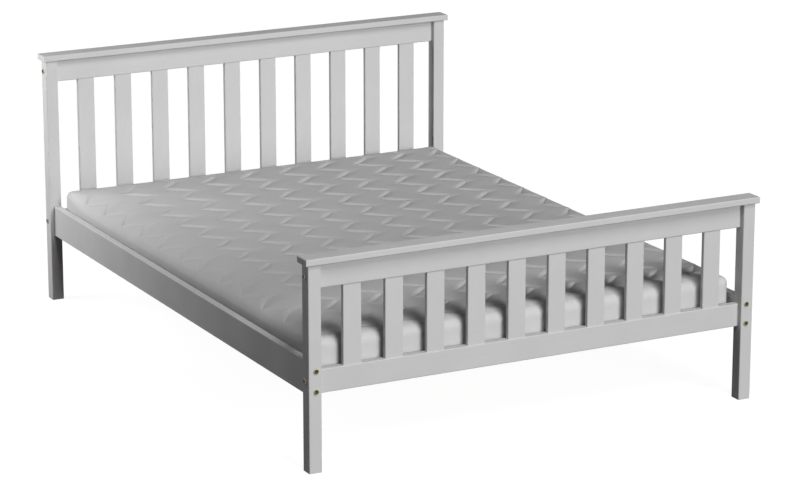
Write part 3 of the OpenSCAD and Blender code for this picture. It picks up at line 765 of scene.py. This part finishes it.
stitch_wave = calculate(tree, "SINE", calculate(tree, "MULTIPLY", along_seam, 2 * np.pi / STITCH))
stitch = remap(tree, stitch_wave, *STITCH_SHOWS, 0.0, 1.0)
near_thread = remap(tree, gap, *THREAD_REACH, 1.0, 0.0)
thread = calculate(tree, "MULTIPLY", calculate(tree, "MULTIPLY", stitch, near_thread), sewn)

gather_place = add(tree, "ShaderNodeCombineXYZ", {
    0: calculate(tree, "MULTIPLY", gap, GATHERS_ACROSS),
    1: calculate(tree, "MULTIPLY", along_seam, GATHERS_ALONG),
}).outputs[0]
gathers = add_noise(tree, gather_place, 1.0, Detail=2.0)
near_seam = calculate(tree, "MULTIPLY", remap(tree, gap, *GATHER_REACH, 1.0, 0.0), sewn)
gather = calculate(tree, "MULTIPLY", gathers.outputs["Fac"], near_seam)

wave = {"Vector": place, "Scale": WEAVE / WAVE_RADIANS}
warp = add(tree, "ShaderNodeTexWave", wave, bands_direction="X").outputs["Fac"]
weft = add(tree, "ShaderNodeTexWave", wave, bands_direction="Y").outputs["Fac"]
weave = calculate(tree, "MAXIMUM", warp, weft)
print("weave lines in a metre:", round(WEAVE / (2 * np.pi)))

# %% Ticking colour and relief
TICKING_PATCHES = 9.0
PATCH_SHADE = 0.6
# Painted shade: the cloth is darkened within 4 mm of each seam, where shade falls in the furrow.
PAINTED_FURROW_SHADE = 0.25
PAINTED_FURROW_SHADE_REACH = 0.004
TICKING_ROUGHNESS = (0.72, 0.88)
TICKING_SPECULAR = 0.05
TICKING_SHEEN = 0.04
FOLD_SCALE = 11.0
FOLD_RELIEF = (0.30, 0.004)
GATHER_RELIEF = (0.55, 0.003)
WEAVE_RELIEF = (0.10, 0.0004)
THREAD_RELIEF = (0.5, 0.0006)

mottle = place_group(tree, mottle_group, {"Patches": TICKING_PATCHES})
shade = remap(tree, mottle["Mottle"], *NOISE_CORE, 0.0, PATCH_SHADE)
cloth_color = blend_colors(tree, shade, TICKING, TICKING_SHADE)
# Painted shade in the furrow: towards the seam the colour is blended to the darker ticking.
painted_furrow_shade = remap(tree, gap, 0.0, PAINTED_FURROW_SHADE_REACH, PAINTED_FURROW_SHADE, 0.0)
painted_furrow_shade = calculate(tree, "MULTIPLY", painted_furrow_shade, sewn)
cloth_color = blend_colors(tree, painted_furrow_shade, cloth_color, TICKING_SHADE)

folds = add_noise(tree, place, FOLD_SCALE, Detail=2.0, Distortion=0.4)
relief = add_bump(tree, folds.outputs["Fac"], *FOLD_RELIEF)
relief = add_bump(tree, gather, *GATHER_RELIEF, relief)
relief = add_bump(tree, weave, *WEAVE_RELIEF, relief)
relief = add_bump(tree, thread, *THREAD_RELIEF, relief)
feed(tree, shader, {
    "Base Color": blend_colors(tree, thread, cloth_color, THREAD),
    "Roughness": remap(tree, mottle["Grit"], *NOISE_RANGE, *TICKING_ROUGHNESS),
    "Normal": relief,
    "Specular IOR Level": TICKING_SPECULAR,
    "Sheen Weight": TICKING_SHEEN,
})
mattress.data.materials.append(ticking)
print("nodes in the ticking:", len(tree.nodes))

# %% [markdown]
# ## The bolts
#
# Each post carries two bolts on its end face and two on its outer face. Their heads are dished,
# with a hexagonal socket in the dish and a raised rim round it. A head is a turned shape, so it is
# a profile carried round an axis. Only the socket isn't round: there the radius follows a hexagon,
# which is half the width across flats divided by the cosine of the angle from the middle of the
# nearest flat.

# %% Bolt surface
AROUND = 48

# radius, distance out from the post's face, share of hexagon
BOLT_PROFILE = np.array([
    [0.0000, 0.0004, 1],
    [0.0024, 0.0004, 1],
    [0.0025, 0.0006, 1],
    [0.0025, 0.0018, 1],
    [0.0027, 0.0020, 1],
    [0.0034, 0.0020, 0],
    [0.0058, 0.0020, 0],
    [0.0064, 0.0022, 0],
    [0.0068, 0.0027, 0],
    [0.0071, 0.0030, 0],
    [0.0076, 0.0030, 0],
    [0.0081, 0.0027, 0],
    [0.0084, 0.0022, 0],
    [0.0085, 0.0016, 0],
    [0.0085, 0.0000, 0],
    [0.0030, 0.0000, 0],
    [0.0030, -0.0780, 0],
    [0.0022, -0.0790, 0],
    [0.0000, -0.0790, 0],
])


def bolt_surface():
    """The profile turned about the axis, with the socket's points moved on to a hexagon.

    There the radius is divided by the cosine of the angle from the middle of the nearest flat.
    Each point keeps its row of the profile, so that the finish can read its radius.
    """
    angle = np.arange(AROUND) * 2 * np.pi / AROUND
    flat = np.pi / 3
    to_hexagon = 1 / np.cos((angle + flat / 2) % flat - flat / 2)
    radius, out, share = BOLT_PROFILE.T
    reach = radius[:, None] * (1 + share[:, None] * (to_hexagon - 1))
    away = np.repeat(out[:, None], AROUND, axis=1)
    facts = np.repeat(BOLT_PROFILE[:, None], AROUND, axis=1)
    return np.stack([reach * np.cos(angle), reach * np.sin(angle), away], axis=-1), facts


# %% [markdown]
# The heads sit where the boards say: a side rail's bolts are 30 mm above and below its middle, and
# an end rail's bolt is at its middle, but a little higher on the lower rails, where it passes
# between the other two.

# %% Place the bolts
SIDE_SPREAD = 0.030
BOLT_IN_RAIL = 0.0085
LOWER_RISE = 0.0042


def bolt_places():
    """Where each bolt's head meets a post, and which way the head faces."""
    places = []
    for end, sign in (("foot", -1), ("head", 1)):
        rail_low, rail_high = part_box("side_rail_left")
        post_low, post_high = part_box(end + "_post_left")
        face_y = post_low.y if sign < 0 else post_high.y
        x = rail_low.x + BOLT_IN_RAIL
        middle_z = (rail_low.z + rail_high.z) / 2
        for z in (middle_z - SIDE_SPREAD, middle_z + SIDE_SPREAD):
            for side in (1, -1):
                places.append(((side * x, face_y, z), (0, sign, 0)))
        for rail, rise in (("_top_rail", 0), ("_lower_rail", LOWER_RISE)):
            rail_low, rail_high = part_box(end + rail)
            z = (rail_low.z + rail_high.z) / 2 + rise
            y = rail_low.y + BOLT_IN_RAIL
            for side in (-1, 1):
                places.append(((side * -post_low.x, y, z), (side, 0, 0)))
    return places


def turn_to(direction):
    """The matrix whose third row points that way, for turning points whose axis is Z."""
    out = np.array(direction, float)
    across = np.cross((0, 0, 1), out)
    return np.stack([across, np.cross(out, across), out])


surface, facts = bolt_surface()
places = bolt_places()
bolt_points = [surface.reshape(-1, 3) @ turn_to(way) + np.array(spot) for spot, way in places]
ring_index = np.arange(surface.shape[0] * AROUND).reshape(surface.shape[0], AROUND)
one_bolt = grid_faces(np.hstack([ring_index, ring_index[:, :1]]))
bolt_faces = np.concatenate([one_bolt + k * ring_index.size for k in range(len(places))])
bolts = mesh_object(
    "bolt_heads", np.concatenate(bolt_points), bolt_faces,
    ("turned", np.tile(facts.reshape(-1, 3), (len(places), 1))),
)
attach(bolts, "bed_frame")
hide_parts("bolts")
print("bolts:", len(places), "faces:", len(bolt_faces))

# %% [markdown]
# The heads are bronzed: a dark olive in the dish and the socket, and a pale cream lacquer on the
# rim. The radius that each point was turned at came along as an attribute, so the two zones are
# exact. The lacquer covers the metal, so Metallic falls to nothing there.

# %% Bronze
RIM_CREAM = (0.62, 0.60, 0.45, 1.0)
BRONZE = (0.075, 0.065, 0.022, 1.0)
RIM_START = (0.0066, 0.0071)
BRONZE_PATCHES = 300.0
RIM_COVERED = (0.80, 1.0)
BRONZE_METAL = 0.45
BRONZE_ROUGHNESS = (0.40, 0.55)
BRONZE_RELIEF = (0.1, 0.0001)
BRONZE_SPECULAR = 0.15

bronze, tree, shader = new_finish("bronze")
turned = add(tree, "ShaderNodeAttribute", attribute_name="turned")
radius = add(tree, "ShaderNodeSeparateXYZ", {0: turned.outputs["Vector"]}).outputs[0]
rim = remap(tree, radius, *RIM_START, 0.0, 1.0)
mottle = place_group(tree, mottle_group, {"Patches": BRONZE_PATCHES})
covered = remap(tree, mottle["Mottle"], *NOISE_CORE, *RIM_COVERED)
coated = calculate(tree, "MULTIPLY", rim, covered)
feed(tree, shader, {
    "Base Color": blend_colors(tree, coated, BRONZE, RIM_CREAM),
    "Metallic": remap(tree, rim, 0.0, 1.0, BRONZE_METAL, 0.0),
    "Roughness": remap(tree, mottle["Mottle"], *NOISE_RANGE, *BRONZE_ROUGHNESS),
    "Normal": add_bump(tree, mottle["Grit"], *BRONZE_RELIEF),
    "Specular IOR Level": BRONZE_SPECULAR,
})
bolts.data.materials.append(bronze)
print("bronze:", bronze.name)

# %% [markdown]
# ## The studio
#
# The bed stands on a pale floor in a white studio. Two far lights in front of the foot end, a low
# one and a high one, give the end boards their even tone: being far off, they reach the head end as
# strongly as the foot end. A softbox overhead lights the mattress. Another beside the head end
# picks out the side rail, and its light fades towards the foot.
#
# The background is white because the floor and the world show white to the camera and in
# reflections, and not because more light is thrown at the bed. The floor keeps a share of its own
# shading, so the bed still has a soft shadow to stand in.

# %% Floor and world
WHITE = (1, 1, 1, 1)
SHADOW_SHARE = 0.20
FLOOR_GLOW = 1.19
FLOOR_SEEN = 0.80
FLOOR_BOUNCE = 0.12
AMBIENT = 0.015


def seen_ray(tree):
    """1 for a ray from the camera or sent on by a shiny or clear surface, and 0 for others."""
    path = add(tree, "ShaderNodeLightPath").outputs
    either = calculate(tree, "MAXIMUM", path["Is Camera Ray"], path["Is Glossy Ray"])
    return calculate(tree, "MAXIMUM", either, path["Is Transmission Ray"])


floor_finish = bpy.data.materials.new("floor")
floor_finish.use_nodes = True
tree = floor_finish.node_tree
tree.nodes.clear()
seen = seen_ray(tree)
tone = remap(tree, seen, 0.0, 1.0, FLOOR_BOUNCE, FLOOR_SEEN)
pale = add(tree, "ShaderNodeBsdfDiffuse", {"Color": tone}).outputs[0]
glow = add(tree, "ShaderNodeEmission", {"Color": WHITE, "Strength": FLOOR_GLOW}).outputs[0]
share = calculate(tree, "MULTIPLY", seen, 1 - SHADOW_SHARE)
mixed = add(tree, "ShaderNodeMixShader", {0: share, 1: pale, 2: glow}).outputs[0]
add(tree, "ShaderNodeOutputMaterial", {0: mixed})

FLOOR_HALF = 30.0
floor_points = np.array([[x, y, 0] for x, y in ((-1, -1), (1, -1), (1, 1), (-1, 1))]) * FLOOR_HALF
floor = mesh_object("floor", floor_points, [(0, 1, 2, 3)])
floor.data.materials.append(floor_finish)

world = bpy.data.worlds.new("studio")
bpy.context.scene.world = world
world.use_nodes = True
tree = world.node_tree
tree.nodes.clear()
strength = remap(tree, seen_ray(tree), 0.0, 1.0, AMBIENT, 1.0)
surround = add(tree, "ShaderNodeBackground", {"Color": WHITE, "Strength": strength})
add(tree, "ShaderNodeOutputWorld", {0: surround.outputs[0]})
print("floor and world:", floor.name, world.name)

# %% Lights
ABOVE_BED = (0, 0, 4)


def place_lamp(name, kind, place, way, energy):
    """A lamp of that kind at place, shining the given way, with its data returned."""
    lamp = bpy.data.lights.new(name, kind)
    lamp.energy = energy
    holder = bpy.data.objects.new(name, lamp)
    holder.location = place
    holder.rotation_euler = Vector(way).to_track_quat("-Z", "Y").to_euler()
    bpy.context.scene.collection.objects.link(holder)
    print("light:", name, energy)
    return lamp


def far_light(name, azimuth, elevation, width, strength):
    """A far light that looks width degrees wide, azimuth degrees to the right of the foot end.

    It shines along X by -sin(azimuth) * cos(elevation), along Y by cos(azimuth) * cos(elevation)
    and along Z by -sin(elevation).
    """
    a, e = radians(azimuth), radians(elevation)
    way = (-sin(a) * cos(e), cos(a) * cos(e), -sin(e))
    place_lamp(name, "SUN", ABOVE_BED, way, strength).angle = radians(width)


def softbox(name, place, aim, size, watts):
    """A rectangular area light at place that shines towards aim."""
    lamp = place_lamp(name, "AREA", place, Vector(aim) - Vector(place), watts)
    lamp.shape = "RECTANGLE"
    lamp.size, lamp.size_y = size


far_light("front_light", azimuth=11, elevation=14, width=20, strength=1.87)
far_light("high_front_light", azimuth=-1, elevation=45, width=16, strength=0.76)
softbox("overhead_light", (0.0, -2.6, 3.4), aim=(0, 0.9, 0.5), size=(1.2, 0.8), watts=34)
softbox("head_side_light", (-1.7, 1.4, 0.95), aim=(-0.75, 0.8, 0.35), size=(0.8, 0.6), watts=16)

bpy.context.scene.view_settings.view_transform = "Standard"
